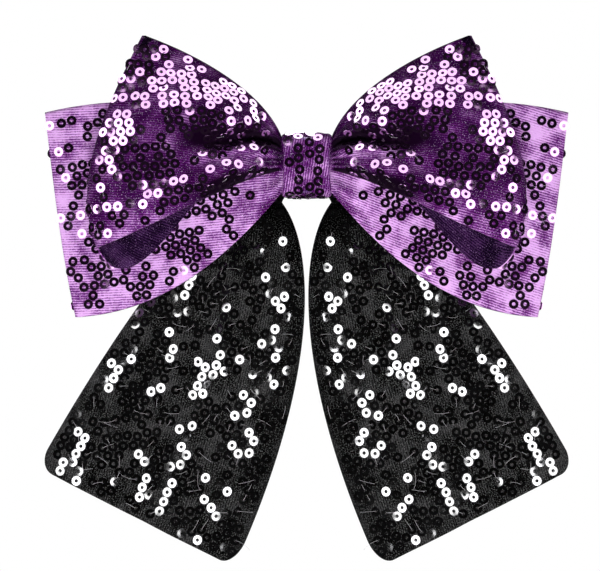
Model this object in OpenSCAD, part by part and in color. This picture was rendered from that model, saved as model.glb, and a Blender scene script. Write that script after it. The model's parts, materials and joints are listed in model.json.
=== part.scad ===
// A pinched double bow with two hanging tails, on a spring hair clip.
// Frame: +X to the right as seen from the front, +Y towards the head, +Z up.
// The origin is the middle of the gap that the hair passes through, inside the closed clip.

/* [Front bow] */
// Distance of the front loops' upper corners from the middle
front_tip_x = 49.2; // [42:0.2:62]
// Height of the front loops' upper corners
front_tip_z = 38.6; // [32:0.2:50]
// Distance of the front loops' lower corners from the middle
front_corner_x = 62.8; // [54:0.2:70]
// Drop of the front loops' lower corners
front_corner_drop = 24.8; // [18:0.2:32]
// How far the folded end swells past the line between its two corners
front_swell = 13; // [2:0.5:18]
// How far the front face of a front loop puffs forward of its fold
front_puff = 12; // [6:0.5:16]
// How far the front face of a front loop rolls back towards its upper edge, as a share of its puff
front_roll = 1.3; // [0:0.05:1.35]
// How much lower the rear wall of a front loop hangs than its front wall, beside its lower corner
front_gape = 13; // [0:0.5:18]

/* [Back bow] */
// Distance of the back loops' upper corners from the middle
back_tip_x = 78.8; // [68:0.5:95]
// Height of the back loops' upper corners
back_tip_z = 16; // [10:0.5:24]
// Distance of the back loops' lower corners from the middle
back_corner_x = 69.6; // [60:0.5:84]
// Drop of the back loops' lower corners
back_corner_drop = 45.6; // [36:0.5:54]
// How far the front face of a back loop puffs forward of its fold
back_puff = 4.4; // [2.5:0.1:5]
// How far the rear face of a back loop puffs behind its fold
back_rear_puff = 5.4; // [3:0.1:6]

/* [Tails] */
// Distance of a tail's outer lower corner from the middle
tail_outer_x = 81.5; // [66:0.5:96]
// Drop of a tail's outer lower corner
tail_outer_drop = 91; // [75:0.5:110]
// Distance of a tail's inner lower corner from the middle
tail_inner_x = 22; // [12:0.5:30]
// Drop of a tail's inner lower corner
tail_inner_drop = 121.5; // [98:0.5:145]
// Radius of the two rounded lower corners
tail_corner_r = 5; // [2:0.5:9]
// Gap between the two tails where they come closest
tail_gap = 1; // [0.6:0.1:3]
// Depth of the tails' long soft folds, from crest to trough
tail_fold_depth = 5; // [0:0.5:7]
// How far a tail can swing back from the loops, in degrees
tail_swing = 25; // [5:1:30]

/* [Cloth] */
// Thickness of the sequined cloth
cloth_t = 0.5; // [0.3:0.1:0.8]
// Thickness of the lining
lining_t = 0.5; // [0.3:0.1:0.8]
// Thickness that each gathered wall of cloth packs down to inside the knot
gather_t = 2.8; // [2:0.1:3.4]
// Thickness of the tails' gathered strip inside the knot
tail_gather_t = 4.6; // [3:0.1:6]

/* [Knot] */
// Width of the knot
knot_w = 14.4; // [10:0.2:20]
// Height of the knot
knot_h = 19.2; // [16:0.2:24]
// Thickness of the knot's folded band
knot_t = 1.2; // [0.8:0.1:1.6]
// Turns of thread that bind the gathers under the knot
binding_turns = 5; // [3:1:9]
// Thickness of the binding thread
thread_t = 0.45; // [0.3:0.05:0.5]
// Stitches that close the knot's band at the back
knot_stitch_count = 5; // [3:1:7]

/* [Clip] */
// Length of the clip's base plate, from end to end
clip_l = 82; // [76:1:100]
// Width of the base plate
clip_w = 7.5; // [7:0.1:9]
// Thickness of the base plate
plate_t = 0.8; // [0.6:0.1:1.2]
// Radius that the base plate is arched to
plate_r = 160; // [130:5:260]
// Radius that the closing arm is arched to
arm_r = 200; // [150:5:320]
// Thickness of the closing arm
arm_t = 0.7; // [0.5:0.1:1]
// Width of the closing arm
arm_w = 5.2; // [4:0.1:5.4]
// Gap for hair between the tension leaf and the closed arm, at the middle
hair_gap = 5; // [4.2:0.1:7]
// Thickness of the tension leaf
leaf_t = 0.4; // [0.3:0.05:0.6]
// Width of the tension leaf
leaf_w = 4.4; // [3:0.1:5]
// Free travel of the tension leaf above the knot's band
leaf_travel = 1.0; // [0.6:0.1:2]
// Radius of the hinge pin
pin_r = 0.8; // [0.6:0.05:1]
// Radius of the sewing holes in the ends of the base plate
sew_hole_r = 1.1; // [0.8:0.1:1.5]
// How far each catch prong gives when squeezed, in degrees
prong_give = 5; // [2:1:6]

/* [Hidden] */
$fn = 48;

PURPLE = [0.36, 0.12, 0.45];
PURPLE_LINING = [0.28, 0.1, 0.36];
BLACK = [0.05, 0.05, 0.055];
THREAD = [0.2, 0.08, 0.26];
STEEL = [0.72, 0.73, 0.75];
fit = 0.05; // running clearance on the hinge pin
touch = 0.1; // clearance between neighbours that only lie together
loop_clear = 0.5; // clearance between the puffed walls of the front and the back bow
pack = 0.2; // clearance between the gathered layers inside the knot

// Depths inside the knot, from the hair gap forwards.
leaf_back = -hair_gap / 2;
leaf_front = leaf_back - leaf_t;
knot_back = leaf_front - leaf_travel;
knot_back_in = knot_back - knot_t;
plate_rise_in_knot = plate_r - sqrt(plate_r * plate_r - knot_w * knot_w / 4);
plate_back = knot_back_in - plate_rise_in_knot - touch;
plate_front = plate_back - plate_t;
glue_t = 1;
glue_front = plate_front - touch / 2 - glue_t;
binding_back = glue_front - touch / 2;
tail_back = binding_back - thread_t - touch / 2;
tail_front = tail_back - tail_gather_t;
back_bow_rear = tail_front - pack;
back_bow_front = back_bow_rear - 2 * gather_t - 2 * pack;
front_bow_rear = back_bow_front - pack;
front_bow_front = front_bow_rear - 2 * gather_t - 2 * pack;
binding_front = front_bow_front - touch / 2 - thread_t;
knot_front_in = binding_front - 0.15;
knot_front = knot_front_in - knot_t;

waist_x = knot_w / 2;
bundle_h = knot_h / 2 - knot_t - thread_t - 2 * touch;
knot_corner_r = knot_t + 0.9;

// Loops: everything below is for the right-hand side, and is mirrored for the left.

function bezier(p, t) = pow(1 - t, 3) * p[0] + 3 * pow(1 - t, 2) * t * p[1]
    + 3 * (1 - t) * t * t * p[2] + t * t * t * p[3];
// A patch between four Bezier edges: lower, upper, waist and fold. t runs outwards and v upwards.
function patch(lower, upper, waist, fold, t, v) = (1 - v) * bezier(lower, t) + v * bezier(upper, t)
    + (1 - t) * bezier(waist, v) + t * bezier(fold, v)
    - (1 - t) * (1 - v) * lower[0] - t * (1 - v) * lower[3]
    - (1 - t) * v * upper[0] - t * v * upper[3];
function line(a, b) = [a, a + (b - a) / 3, a + (b - a) * 2 / 3, b];
function rise(t) = sin(90 * min(1, t / 0.45));
function fall(t) = sqrt(max(0, 1 - t * t * t));

// A loop's shape: [lower edge, rear lower edge, upper edge, waist edge, fold edge,
// fold depth, waist front, waist rear, front puff, rear puff, roll of the front wall].
// The front bow's rear wall stops short of the back bow's front wall, however deep that one puffs.
back_fold_y = back_bow_rear - 2.9;
back_reach_y = back_fold_y - back_puff;
FRONT_LOW = -1.5;
front_waist = [[waist_x, FRONT_LOW], [waist_x, bundle_h]];
front_tip = [front_tip_x, front_tip_z];
front_corner = [front_corner_x, -front_corner_drop];
front_fold_y = front_bow_front - 3.2;
front_rear_puff = back_reach_y - loop_clear - front_fold_y;
function swollen(a, b, by) = [a, a + (b - a) * 0.3 + [by * 0.9, 0], a + (b - a) * 0.62 + [by * 0.55, 0], b];
FRONT = [
    [front_waist[0], [0.34 * front_corner_x, -0.16 * front_corner_drop],
        [0.63 * front_corner_x, -0.64 * front_corner_drop], front_corner],
    [front_waist[0], [0.4 * front_corner_x, -0.2 * front_corner_drop + 1.9 * front_gape],
        [0.8 * front_corner_x, -0.64 * front_corner_drop - 2.78 * front_gape], front_corner],
    [front_waist[1], [0.24 * front_tip_x, 0.54 * front_tip_z],
        [0.62 * front_tip_x, 0.84 * front_tip_z], front_tip],
    line(front_waist[0], front_waist[1]),
    swollen(front_corner, front_tip, front_swell),
    front_fold_y, front_bow_front, front_bow_rear, front_puff, front_rear_puff, front_roll];

back_waist = [[waist_x, -bundle_h], [waist_x, 0.75 * bundle_h]];
back_tip = [back_tip_x, back_tip_z];
back_corner = [back_corner_x, -back_corner_drop];
back_roll = 0.6;
BACK = [
    [back_waist[0], [0.3 * back_corner_x, -0.53 * back_corner_drop],
        [0.58 * back_corner_x, -0.96 * back_corner_drop], back_corner],
    [back_waist[0], [0.3 * back_corner_x, -0.48 * back_corner_drop],
        [0.58 * back_corner_x, -0.92 * back_corner_drop], back_corner],
    [back_waist[1], [0.3 * back_tip_x, 1.1 * back_tip_z],
        [0.62 * back_tip_x, 1.45 * back_tip_z], back_tip],
    line(back_waist[0], back_waist[1]),
    swollen(back_corner, back_tip, 1.5),
    back_fold_y, back_bow_front, back_bow_rear, back_puff, back_rear_puff, back_roll];

// A point of one wall of a loop. t is 0 at the knot and 1 at the fold, inset is 0 on the cloth's
// outer face and 1 on the lining's inner face, and share is the cloth's part of the wall.
function wall_inset(t, inset) = inset * ((cloth_t + lining_t) + (gather_t - cloth_t - lining_t) * (1 - rise(t)));
function loop_point(loop, front, t, v, inset) =
    let(o = wall_inset(t, inset),
        xz = patch(front ? loop[0] : loop[1], loop[2], loop[3], loop[4], t, v),
        fold_y = loop[5],
        near = front ? fold_y - loop[6] : loop[7] - fold_y,
        far = front ? loop[8] : loop[9],
        edge = front ? 1 - loop[10] * pow(max(0, 2 * v - 1), 2) : 1,
        depth = near + (far * edge - near) * rise(t))
    [xz[0] - o * t * t, fold_y + (front ? -1 : 1) * (depth - o) * fall(t), xz[1]];

front_steps = 10;
rear_steps = 8;
rows = 8;
// Stations round one loop: out along its front wall and back along its rear wall.
function out_share(i, n) = 1 - pow(1 - i / n, 2);
function stations() = concat([for (i = [0:front_steps]) [true, out_share(i, front_steps)]],
    [for (i = [1:rear_steps]) [false, out_share(rear_steps - i, rear_steps)]]);
function mirrored(p) = [-p[0], p[1], p[2]];
// The closed ring of points round both loops, row by row from the lower edge to the upper one.
function ring_points(loop, inset) =
    let(s = stations(), n = len(s))
    [for (j = [0:rows]) for (i = [0:2 * n - 1])
        i < n ? mirrored(loop_point(loop, s[i][0], s[i][1], j / rows, inset))
            : loop_point(loop, s[2 * n - 1 - i][0], s[2 * n - 1 - i][1], j / rows, inset)];

// Two faces of a closed band, its outer points first, and its two rims.
module band(outer, inner) {
    n = len(outer) / (rows + 1);
    m = len(outer);
    function at(i, j) = j * n + i % n;
    polyhedron(concat(outer, inner), concat(
        [for (j = [0:rows - 1]) for (i = [0:n - 1]) [at(i, j), at(i + 1, j), at(i, j + 1)]],
        [for (j = [0:rows - 1]) for (i = [0:n - 1]) [at(i + 1, j), at(i + 1, j + 1), at(i, j + 1)]],
        [for (j = [0:rows - 1]) for (i = [0:n - 1]) [m + at(i, j), m + at(i, j + 1), m + at(i + 1, j)]],
        [for (j = [0:rows - 1]) for (i = [0:n - 1]) [m + at(i + 1, j), m + at(i, j + 1), m + at(i + 1, j + 1)]],
        [for (i = [0:n - 1]) [at(i, 0), m + at(i, 0), at(i + 1, 0)]],
        [for (i = [0:n - 1]) [at(i + 1, 0), m + at(i, 0), m + at(i + 1, 0)]],
        [for (i = [0:n - 1]) [at(i, rows), at(i + 1, rows), m + at(i, rows)]],
        [for (i = [0:n - 1]) [at(i + 1, rows), m + at(i + 1, rows), m + at(i, rows)]]));
}

cloth_share = cloth_t / (cloth_t + lining_t);
module front_bow_cloth() { color(PURPLE) band(ring_points(FRONT, 0), ring_points(FRONT, cloth_share)); }
module front_bow_lining() { color(PURPLE_LINING) band(ring_points(FRONT, cloth_share), ring_points(FRONT, 1)); }
module back_bow_cloth() { color(PURPLE) band(ring_points(BACK, 0), ring_points(BACK, cloth_share)); }
module back_bow_lining() { color(PURPLE_LINING) band(ring_points(BACK, cloth_share), ring_points(BACK, 1)); }

// Tails: each panel hangs from the gathered strip's shoulder, on the swing axis.
tail_split_z = -knot_h / 2 - 0.6;
tail_axis_z = tail_split_z - 0.2;
tail_axis_y = tail_back - 1.2;
tail_turn_room = max(cloth_t, lining_t) * sin(tail_swing);
tail_top_z = tail_axis_z - tail_turn_room - 0.289;
tail_top_inner = [waist_x + 0.3, tail_top_z];
tail_top_outer = [24, tail_top_z];
tail_inner = [tail_inner_x, -tail_inner_drop];
tail_outer = [tail_outer_x, -tail_outer_drop];
// The inner edge comes closest to the middle about 0.4 of the way down, where the Bezier's weights
// are 0.216, 0.432, 0.288 and 0.064; its two control points are set so that half the gap is left.
tail_pull_x = (tail_gap / 2 - 0.216 * tail_top_inner[0] - 0.064 * tail_inner_x) / 0.72;
TAIL = [
    [tail_top_inner, [tail_pull_x, -0.206 * tail_inner_drop],
        [tail_pull_x, -0.543 * tail_inner_drop], tail_inner],
    [tail_top_outer, [0.48 * tail_outer_x, -0.26 * tail_outer_drop],
        [0.73 * tail_outer_x, -0.57 * tail_outer_drop], tail_outer],
    line(tail_top_inner, tail_top_outer),
    line(tail_inner, tail_outer)];
tail_w = norm(tail_outer - tail_inner);
tail_l = norm((tail_inner + tail_outer) / 2 - (tail_top_inner + tail_top_outer) / 2);
tail_columns = 20;
tail_rows = 14;
// How far down the panel its lower edge lies at share s across, with round corners.
function tail_end(s) =
    let(e = 2 * tail_corner_r / tail_w, a = max(0, (abs(2 * s - 1) - 1 + e) / e))
    1 - tail_corner_r / tail_l * (1 - sqrt(max(0, 1 - a * a)));
function tail_wave(s, t) = tail_fold_depth / 2 * min(1, 1.6 * t) * cos(360 * (2.1 * s - 0.15) + 50 * t);
function tail_point(s, k, back) =
    let(t = k * tail_end(s), xz = patch(TAIL[0], TAIL[1], TAIL[2], TAIL[3], t, s))
    [xz[0], tail_axis_y + 3.6 * rise(t * 0.9) + tail_wave(s, t) + back, xz[1]];
// Columns stand closer together at the two side edges, where the corners are round.
function column_share(i) = (1 - cos(180 * i / tail_columns)) / 2;
function tail_points(back) = [for (j = [0:tail_rows]) for (i = [0:tail_columns])
    tail_point(column_share(i), j / tail_rows, back)];

module panel(front, back) {
    n = tail_columns + 1;
    m = len(front);
    function at(i, j) = j * n + i;
    last = tail_columns;
    polyhedron(concat(front, back), concat(
        [for (j = [0:tail_rows - 1]) for (i = [0:last - 1]) [at(i, j), at(i + 1, j), at(i, j + 1)]],
        [for (j = [0:tail_rows - 1]) for (i = [0:last - 1]) [at(i + 1, j), at(i + 1, j + 1), at(i, j + 1)]],
        [for (j = [0:tail_rows - 1]) for (i = [0:last - 1]) [m + at(i, j), m + at(i, j + 1), m + at(i + 1, j)]],
        [for (j = [0:tail_rows - 1]) for (i = [0:last - 1]) [m + at(i + 1, j), m + at(i, j + 1), m + at(i + 1, j + 1)]],
        [for (i = [0:last - 1]) [at(i, 0), m + at(i, 0), m + at(i + 1, 0), at(i + 1, 0)]],
        [for (i = [0:last - 1]) [at(i, tail_rows), at(i + 1, tail_rows), m + at(i + 1, tail_rows), m + at(i, tail_rows)]],
        [for (j = [0:tail_rows - 1]) [at(0, j), at(0, j + 1), m + at(0, j + 1), m + at(0, j)]],
        [for (j = [0:tail_rows - 1]) [at(last, j), m + at(last, j), m + at(last, j + 1), at(last, j + 1)]]));
}
module tail_panel(from, to) { panel(tail_points(from), tail_points(to)); }
module tail_right_cloth() { color(BLACK) tail_panel(-cloth_t, 0); }
module tail_right_lining() { color(BLACK) tail_panel(0, lining_t); }
module tail_left_cloth() { color(BLACK) mirror([1, 0, 0]) tail_panel(-cloth_t, 0); }
module tail_left_lining() { color(BLACK) mirror([1, 0, 0]) tail_panel(0, lining_t); }

// The middle of the tails' strip, gathered flat in the knot, with a shoulder on each side.
module tail_gather() {
    shoulder_in = 1.6;
    low = -bundle_h;
    high = 0.62 * bundle_h;
    color(BLACK) {
        translate([-waist_x - touch, tail_front, low]) cube([knot_w + 2 * touch, tail_gather_t, high - low]);
        for (side = [0, 1]) mirror([side, 0, 0]) hull() {
            translate([waist_x + touch, tail_front + shoulder_in, low])
                cube([1, tail_gather_t - shoulder_in, high - low]);
            translate([tail_top_inner[0], tail_axis_y - 1, tail_split_z])
                cube([tail_top_outer[0] - tail_top_inner[0], 2, 0.3]);
        }
    }
}

// A rounded rectangle in the YZ plane, extruded along X.
module yz_block(y0, y1, z0, z1, r, x0, x1) {
    translate([x0, 0, 0]) rotate([90, 0, 90]) linear_extrude(x1 - x0) {
        translate([y0 + r, z0]) square([y1 - y0 - 2 * r, z1 - z0]);
        translate([y0, z0 + r]) square([y1 - y0, z1 - z0 - 2 * r]);
        for (y = [y0 + r, y1 - r]) for (z = [z0 + r, z1 - r]) translate([y, z]) circle(r);
    }
}
module yz_ring(y0, y1, h, t, r, x0, x1) {
    difference() {
        yz_block(y0, y1, -h, h, r, x0, x1);
        yz_block(y0 + t, y1 - t, -h + t, h - t, r - t, x0 - 1, x1 + 1);
    }
}

module waist_binding() {
    pitch = 1.35 * thread_t;
    first = -(binding_turns - 1) / 2 * pitch - thread_t / 2;
    color(THREAD) for (i = [0:binding_turns - 1])
        yz_ring(binding_front, binding_back, bundle_h + touch + thread_t, thread_t, thread_t + touch,
            first + i * pitch, first + i * pitch + thread_t);
}
module knot_band() {
    color(PURPLE) yz_ring(knot_front, knot_back, knot_h / 2, knot_t, knot_corner_r, -waist_x, waist_x);
}
stitch_r = 0.2;
module knot_stitches() {
    seam_z = -(knot_h / 2 - knot_corner_r - 1.1);
    pitch = (knot_w - 4) / knot_stitch_count;
    color(THREAD) for (i = [0:knot_stitch_count - 1])
        translate([(i - (knot_stitch_count - 1) / 2) * pitch, knot_back + stitch_r, seam_z])
            cylinder(r = stitch_r, h = 2, center = true);
}
module glue_pad() {
    pad_w = knot_w - 3;
    color([0.9, 0.88, 0.8]) translate([-pad_w / 2, glue_front, -clip_w / 2 + 0.4])
        cube([pad_w, glue_t, clip_w - 0.8]);
}

// Clip. The base plate and the arm are arched strips, so each is a slice of a thin ring about Z.
land_l = 10;
arch_x = clip_l / 2 - land_l;
plate_cy = plate_back + plate_r;
land_back = plate_cy - sqrt(plate_r * plate_r - arch_x * arch_x);
sew_x = clip_l / 2 - clip_w / 2;
hinge_x = -arch_x - 1.5;
hinge_y = land_back + pin_r + 0.55 + 0.45;
knuckle_r = pin_r + 0.55;
lug_r = pin_r + 0.8;
lug_t = 0.6;
ear_t = 0.7;
lug_z = leaf_w / 2 + 0.1;
ear_z = lug_z + lug_t + 0.15;
arm_front = hair_gap / 2;
arm_cy = arm_front + arm_r;

// A strip w wide arched about [0, cy], from radius r0 to r1, between x0 and x1.
module arched_strip(cy, r0, r1, w, x0, x1) {
    a0 = asin(x0 / r0);
    a1 = asin(x1 / r0);
    translate([0, cy, -w / 2]) rotate([0, 0, -90 + a0]) rotate_extrude(angle = a1 - a0)
        translate([r0, 0]) square([r1 - r0, w]);
}
module along_y(x, z, r, y0, y1) { translate([x, y1, z]) rotate([90, 0, 0]) cylinder(r = r, h = y1 - y0); }

module clip_base() {
    color(STEEL) difference() {
        union() {
            arched_strip(plate_cy, plate_r, plate_r + plate_t, clip_w, -arch_x + 0.3, arch_x - 0.3);
            for (side = [0, 1]) mirror([side, 0, 0]) translate([0, land_back, 0]) rotate([90, 0, 0])
                linear_extrude(plate_t) {
                    translate([arch_x - 0.8, -clip_w / 2]) square([sew_x - arch_x + 0.8, clip_w]);
                    translate([sew_x, 0]) circle(clip_w / 2);
                }
            for (side = [0, 1]) mirror([0, 0, side]) translate([hinge_x, 0, ear_z]) {
                translate([-lug_r, land_back - plate_t / 2, 0]) cube([2 * lug_r, hinge_y - land_back + plate_t / 2, ear_t]);
                translate([0, hinge_y, 0]) cylinder(r = lug_r, h = ear_t);
            }
        }
        for (x = [-sew_x, sew_x]) along_y(x, 0, sew_hole_r, land_back - 2 * plate_t, land_back + plate_t);
        translate([hinge_x, hinge_y, -clip_w]) cylinder(r = pin_r, h = 2 * clip_w);
        along_y(catch_x, 0, rivet_r, land_back - 2 * plate_t, land_back + plate_t);
    }
}
module hinge_pin() {
    head_t = 0.4;
    reach = ear_z + ear_t;
    color(STEEL) translate([hinge_x, hinge_y, 0]) {
        cylinder(r = pin_r, h = 2 * reach, center = true);
        for (side = [0, 1]) mirror([0, 0, side]) translate([0, 0, reach]) cylinder(r = pin_r + 0.4, h = head_t);
    }
}

// The leaf bows away from the base plate, and its rolled end turns on the hinge pin.
leaf_end = arch_x - 4.8;
leaf_tip = leaf_end + leaf_w / 2;
leaf_tip_gap = 0.325; // left between the leaf's tip and the arched plate in front of it
leaf_tip_y = plate_cy - sqrt(plate_r * plate_r - leaf_tip * leaf_tip) + leaf_tip_gap + leaf_t;
leaf_bow = leaf_tip_y - leaf_back;
leaf_r = (leaf_tip * leaf_tip + leaf_bow * leaf_bow) / (2 * leaf_bow);
function leaf_y(x) = leaf_back + leaf_r - sqrt(leaf_r * leaf_r - x * x);
module tension_leaf() {
    ramp_x = hinge_x + 5;
    steps = 16;
    xs = [for (i = [0:steps]) ramp_x + (leaf_tip + 1 - ramp_x) * i / steps];
    back = [for (x = xs) [x, leaf_y(x)]];
    front = [for (i = [steps:-1:0]) [xs[i], leaf_y(xs[i]) - leaf_t]];
    root_front = [hinge_x, hinge_y - knuckle_r + 0.1];
    root_back = [hinge_x, hinge_y - knuckle_r + 0.1 + leaf_t];
    color(STEEL) difference() {
        union() {
            intersection() {
                translate([0, 0, -leaf_w]) linear_extrude(2 * leaf_w)
                    polygon(concat([root_back], back, front, [root_front]));
                translate([0, 10, 0]) rotate([90, 0, 0]) linear_extrude(20) {
                    translate([hinge_x, -leaf_w / 2]) square([leaf_end - hinge_x, leaf_w]);
                    translate([leaf_end, 0]) circle(leaf_w / 2);
                }
            }
            translate([hinge_x, hinge_y, 0]) cylinder(r = knuckle_r, h = leaf_w, center = true);
        }
        translate([hinge_x, hinge_y, 0]) cylinder(r = pin_r + fit, h = 2 * leaf_w, center = true);
    }
}

// The arm's side lugs turn on the pin, and its wide tip has the window that the prongs come through.
catch_x = arch_x + 0.9;
tip_w = 7.2;
tip_l = 8.4;
tip_back = arm_cy - sqrt(arm_r * arm_r - catch_x * catch_x) + arm_t;
window_x = 4.4;
window_z = 4.7;
module clip_arm() {
    rib_t = 0.4;
    rib_w = 1.6;
    lug_top = arm_cy - sqrt(arm_r * arm_r - hinge_x * hinge_x) + arm_t / 2;
    color(STEEL) difference() {
        union() {
            arched_strip(arm_cy, arm_r - arm_t, arm_r, arm_w, hinge_x - lug_r / 2, catch_x - tip_l / 2 + 0.6);
            arched_strip(arm_cy, arm_r - arm_t - rib_t, arm_r - arm_t / 2, rib_w, -0.76 * arch_x, 0.76 * arch_x);
            translate([catch_x - tip_l / 2, tip_back - arm_t, -tip_w / 2]) cube([tip_l, arm_t, tip_w]);
            for (side = [0, 1]) mirror([0, 0, side]) translate([hinge_x, 0, lug_z]) {
                translate([-lug_r, hinge_y, 0]) cube([2 * lug_r, lug_top - hinge_y, lug_t]);
                translate([0, hinge_y, 0]) cylinder(r = lug_r, h = lug_t);
            }
        }
        translate([hinge_x, hinge_y, 0]) cylinder(r = pin_r + fit, h = 2 * clip_w, center = true);
        translate([catch_x - window_x / 2, tip_back - 3, -window_z / 2]) cube([window_x, 6, window_z]);
    }
}

// The catch: a riveted plate with two springy prongs that are squeezed together to let the arm go.
rivet_r = 0.6;
catch_t = 0.5;
catch_back = land_back + catch_t;
prong_top = tip_back + 1.3;
prong_spare = 0.56; // left between the two prongs' tips when both are squeezed all the way
prong_t = 0.6;
prong_w = 2.8;
prong_axis_y = catch_back + 0.4;
prong_in = prong_spare + (prong_top - prong_axis_y) * sin(prong_give);
module catch_plate() {
    color(STEEL) difference() {
        translate([catch_x - 2.2, land_back, -clip_w / 2 + 0.5]) cube([4.4, catch_t, clip_w - 1]);
        along_y(catch_x, 0, rivet_r, land_back - 1, catch_back + 1);
    }
}
module catch_rivet() {
    color(STEEL) {
        along_y(catch_x, 0, rivet_r, land_back - plate_t, catch_back);
        along_y(catch_x, 0, 2 * rivet_r - 0.2, catch_back, catch_back + 0.35);
        along_y(catch_x, 0, 2 * rivet_r - 0.2, land_back - plate_t - 0.35, land_back - plate_t);
    }
}
module prong() {
    top = prong_top;
    barb = window_z / 2 - 0.15;
    color(STEEL) translate([catch_x - prong_w / 2, 0, 0]) rotate([90, 0, 90]) linear_extrude(prong_w)
        polygon([[catch_back + touch, prong_in], [top, prong_in], [top, prong_in + prong_t],
            [top - 0.5, barb], [tip_back + 0.1, barb], [tip_back - arm_t, prong_in + prong_t],
            [catch_back + touch, prong_in + prong_t]]);
}
module catch_prong_upper() { prong(); }
module catch_prong_lower() { mirror([0, 0, 1]) prong(); }

front_bow_cloth();
front_bow_lining();
back_bow_cloth();
back_bow_lining();
tail_gather();
tail_left_cloth();
tail_left_lining();
tail_right_cloth();
tail_right_lining();
waist_binding();
knot_band();
knot_stitches();
glue_pad();
clip_base();
hinge_pin();
tension_leaf();
clip_arm();
catch_plate();
catch_rivet();
catch_prong_upper();
catch_prong_lower();
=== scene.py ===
# %% [markdown]
# # A sequined hair bow with two tails, on a spring clip
# The real bow is four strips of sequined mesh cloth, each backed with a lining. Two strips are sewn
# into flat tubes, pinched at the middle and stacked. A third strip hangs behind them as two tails.
# Thread binds the pinched middles, a short folded band covers the thread and holds the clip's base.
# This scene rebuilds the cloth, the sequins and their threads as smooth surfaces over the CAD solids.

# %% Load the frame
import bpy
import json
import math
import numpy as np
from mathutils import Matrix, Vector


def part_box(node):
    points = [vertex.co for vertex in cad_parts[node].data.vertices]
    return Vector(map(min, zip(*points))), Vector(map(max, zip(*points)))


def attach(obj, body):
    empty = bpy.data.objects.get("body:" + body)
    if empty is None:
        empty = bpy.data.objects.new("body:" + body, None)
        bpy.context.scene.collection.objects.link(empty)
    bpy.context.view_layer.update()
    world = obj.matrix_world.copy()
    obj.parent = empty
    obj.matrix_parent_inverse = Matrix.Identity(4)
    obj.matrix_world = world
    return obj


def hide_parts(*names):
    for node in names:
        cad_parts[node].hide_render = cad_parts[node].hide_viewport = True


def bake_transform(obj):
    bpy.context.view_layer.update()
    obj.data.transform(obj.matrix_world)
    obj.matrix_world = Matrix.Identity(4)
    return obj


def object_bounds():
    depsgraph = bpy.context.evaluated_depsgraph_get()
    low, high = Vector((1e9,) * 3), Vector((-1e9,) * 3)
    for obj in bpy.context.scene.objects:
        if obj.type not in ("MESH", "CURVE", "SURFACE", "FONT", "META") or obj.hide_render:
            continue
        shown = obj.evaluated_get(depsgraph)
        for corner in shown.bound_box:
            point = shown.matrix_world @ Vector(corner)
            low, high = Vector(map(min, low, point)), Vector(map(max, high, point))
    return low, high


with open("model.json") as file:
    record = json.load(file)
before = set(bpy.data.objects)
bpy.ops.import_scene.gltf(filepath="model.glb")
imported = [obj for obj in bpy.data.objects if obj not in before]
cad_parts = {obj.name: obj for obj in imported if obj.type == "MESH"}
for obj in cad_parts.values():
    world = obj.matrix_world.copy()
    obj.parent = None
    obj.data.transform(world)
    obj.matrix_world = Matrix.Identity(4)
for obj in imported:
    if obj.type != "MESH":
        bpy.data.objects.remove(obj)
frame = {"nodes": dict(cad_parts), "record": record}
cad_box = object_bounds()
MM = 0.001


def span(node):
    """The low and high corners of a CAD node's box, in millimetres."""
    lo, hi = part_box(node)
    return np.array(lo) / MM, np.array(hi) / MM


knot_lo, knot_hi = span("knot_band")
print("knot, mm:", np.round(knot_hi - knot_lo, 1))

# %% [markdown]
# ## Tools for surfaces
# A piece of cloth is a surface P(u, v) on a grid. Its normal is the cross product of the two
# differences dP/du and dP/dv, so the same grid gives the cloth's other face: P - thickness * normal.

# %% Grid meshes


def unit(a):
    """Each vector divided by its length."""
    return a / np.maximum(np.linalg.norm(a, axis=-1, keepdims=True), 1e-12)


def grid_faces(rows, columns, base, loop_rows, flip=False):
    """Corner numbers of every quad of a rows x columns grid whose points are numbered row by row from
    base. loop_rows joins the last row to the first, and flip turns every quad over."""
    i = np.arange(rows if loop_rows else rows - 1)[:, None]
    j = np.arange(columns - 1)[None, :]
    i2 = (i + 1) % rows
    quad = np.stack([i * columns + j, i2 * columns + j, i2 * columns + j + 1, i * columns + j + 1], -1)
    quad = quad.reshape(-1, 4) + base
    return quad[:, ::-1] if flip else quad


def build(name, points_mm, quads, material, smooth=True, uv=None, hollow=None):
    """One mesh object from points in millimetres and a list of quads."""
    mesh = bpy.data.meshes.new(name)
    mesh.vertices.add(len(points_mm))
    mesh.vertices.foreach_set("co", (np.asarray(points_mm, float) * MM).astype(np.float32).ravel())
    mesh.loops.add(quads.size)
    mesh.loops.foreach_set("vertex_index", quads.astype(np.int32).ravel())
    mesh.polygons.add(len(quads))
    mesh.polygons.foreach_set("loop_start", np.arange(0, quads.size, 4, dtype=np.int32))
    mesh.polygons.foreach_set("use_smooth", np.full(len(quads), smooth))
    if uv is not None:
        layer = mesh.uv_layers.new(name="weave")
        layer.data.foreach_set("uv", uv[quads.ravel()].astype(np.float32).ravel())
    if hollow is not None:
        layer = mesh.attributes.new("hollow", "FLOAT", "POINT")
        layer.data.foreach_set("value", hollow.astype(np.float32).ravel())
    mesh.update(calc_edges=True)
    obj = bpy.data.objects.new(name, mesh)
    bpy.context.collection.objects.link(obj)
    mesh.materials.append(material)
    return obj


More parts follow.
